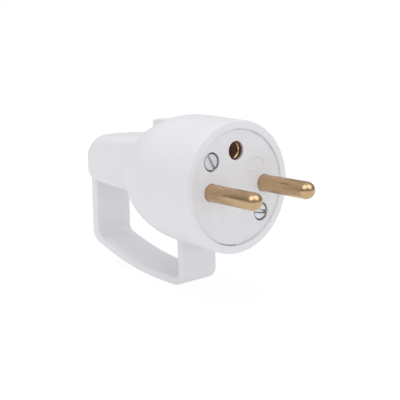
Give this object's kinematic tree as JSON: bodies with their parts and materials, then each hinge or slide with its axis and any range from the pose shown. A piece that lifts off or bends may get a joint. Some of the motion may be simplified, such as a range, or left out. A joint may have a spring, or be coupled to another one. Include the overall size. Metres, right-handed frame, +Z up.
{
  "type": "type E plug with pull handle",
  "caption": "Rewirable round-pin mains plug with a female earth contact, a hollow tail for the cord and a moulded finger loop to pull it out.",
  "frame": {"origin": "middle of the insert's face, midway between the two pins", "axes": "-Y along the pins towards the socket, +Y rearwards along the plug's axis, +X along the line of the pins, +Z up towards the earth hole, with the handle below"},
  "size_m": [0.037, 0.0844, 0.05],
  "materials": {
    "white_shell": "satin white moulding",
    "white_insert": "matt white moulding",
    "pin_brass": "plain brass",
    "screw_zinc": "zinc-plated steel",
    "spring_steel": "bright spring wire"
  },
  "bodies": {
    "root": {"cover": "white_shell", "pin_carrier": "white_insert", "terminal_block": "white_insert", "live_pin": "pin_brass", "neutral_pin": "pin_brass", "earth_socket": "pin_brass", "earth_spring": "spring_steel", "cord_grip_bridge": "screw_zinc", "live_terminal_screw": "screw_zinc", "neutral_terminal_screw": "screw_zinc", "earth_terminal_screw": "screw_zinc", "cord_grip_screw_left": "screw_zinc", "cord_grip_screw_right": "screw_zinc", "cover_screw_upper": "screw_zinc", "cover_screw_lower": "screw_zinc", "cover_nut_upper": "pin_brass", "cover_nut_lower": "pin_brass", "block_screw_lower": "screw_zinc", "block_screw_upper": "screw_zinc"}
  },
  "joints": []
}
